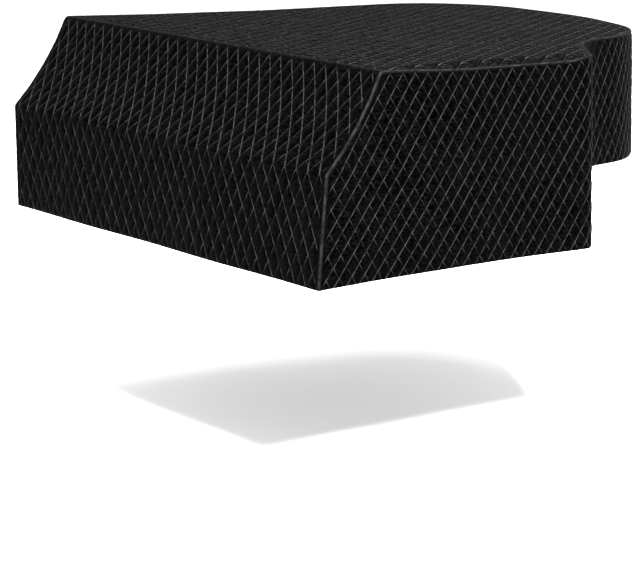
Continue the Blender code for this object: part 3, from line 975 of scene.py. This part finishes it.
def cloths():
    """The materials: the quilted cloth of the sides, the same cloth painted lighter on top for the light
    from above and the sheen seen along it, and the smooth cloth over the cords."""
    quilted = []
    for name, look in (("quilted_cloth", SIDE_LOOK), ("lit_top_cloth", TOP_LOOK)):
        cloth, thread_and_highlight, line_width, sheen = look
        colours = grey(cloth, CLOTH_BLUE), grey(thread_and_highlight, THREAD_AND_HIGHLIGHT_BLUE)
        quilted.append(quilted_cloth(name, *colours, line_width, sheen))
    return *quilted, cord_cloth("cord_cloth", grey(CORD_GREY, CORD_BLUE), grey(CROWN_WEAR_AND_HIGHLIGHT_GREY))


def dress(piece, node, material):
    piece.data.materials.append(material)
    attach(piece, "root")
    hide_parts(node)


def add_camera():
    yaw, pitch, roll = map(math.radians, (CAMERA_YAW, CAMERA_PITCH, CAMERA_ROLL))
    level = math.cos(pitch)
    forward = Vector((-math.sin(yaw) * level, math.cos(yaw) * level, -math.sin(pitch)))
    right = Vector((math.cos(yaw), math.sin(yaw), 0.0))
    up = right.cross(forward)
    leaning_right = right * math.cos(roll) + up * math.sin(roll)
    leaning_up = up * math.cos(roll) - right * math.sin(roll)
    data = bpy.data.cameras.new("camera")
    data.sensor_fit = "HORIZONTAL"
    data.sensor_width = SENSOR_WIDTH
    data.lens = CAMERA_LENS
    data.clip_end = FARTHEST
    camera = bpy.data.objects.new("camera", data)
    turn = Matrix((leaning_right, leaning_up, -forward)).transposed()
    camera.matrix_world = Matrix.Translation(CAMERA_PLACE) @ turn.to_4x4()
    bpy.context.scene.collection.objects.link(camera)
    bpy.context.scene.camera = camera


def add_light(name, place, target, side, power):
    data = bpy.data.lights.new(name, "AREA")
    data.shape = "RECTANGLE"
    data.size = side
    data.size_y = side
    data.energy = power
    light = bpy.data.objects.new(name, data)
    light.location = place
    light.rotation_mode = "QUATERNION"
    light.rotation_quaternion = (Vector(target) - Vector(place)).to_track_quat("-Z", "Y")
    bpy.context.scene.collection.objects.link(light)


def add_studio():
    world = bpy.data.worlds.new("studio")
    world.use_nodes = True
    background = world.node_tree.nodes["Background"]
    background.inputs["Color"].default_value = grey(1.0)
    background.inputs["Strength"].default_value = 1.0
    bpy.context.scene.world = world
    bpy.context.scene.view_settings.view_transform = "Standard"
    for light in LIGHTS:
        add_light(*light)
    mesh = bpy.data.meshes.new("floor")
    reach = FLOOR_REACH
    corners = [(-reach, -reach, 0), (reach, -reach, 0), (reach, reach, 0), (-reach, reach, 0)]
    mesh.from_pydata(corners, [], [(0, 1, 2, 3)])
    floor = bpy.data.objects.new("floor", mesh)
    floor.location = (0.0, 0.0, FLOOR_Z)
    paint = Nodes("floor_paint")
    paint.surface.inputs["Base Color"].default_value = grey(FLOOR_GREY)
    paint.surface.inputs["Roughness"].default_value = 0.9
    paint.surface.inputs["Specular IOR Level"].default_value = 0.0
    paint.surface.inputs["Emission Color"].default_value = grey(1.0)
    paint.surface.inputs["Emission Strength"].default_value = FLOOR_GLOW
    mesh.materials.append(paint.material)
    bpy.context.scene.collection.objects.link(floor)


def build():
    add_camera()
    add_studio()
    length = OUTLINE.length
    cloth, painted_light, binding = cloths()
    top = top_panel()
    front = front_panel()
    treble = skirt("treble_quilting", length - SKIRT_SEAM - GAP, lambda distance: distance, 37)
    bass = skirt("bass_quilting", SKIRT_SEAM - GAP, lambda distance: length - distance, 53)
    # The top wears the cloth painted lighter, painted light for the light and sheen that fall on it
    dress(top, "top_panel", painted_light)
    dress(front, "front_panel", cloth)
    dress(treble, "treble_skirt", cloth)
    dress(bass, "bass_skirt", cloth)
    dress(top_cord(), "top_cord", binding)
    dress(corner_cord("treble_corner_piping", 1.0, 7), "treble_corner_cord", binding)
    dress(corner_cord("bass_corner_piping", -1.0, 9), "bass_corner_cord", binding)


build()
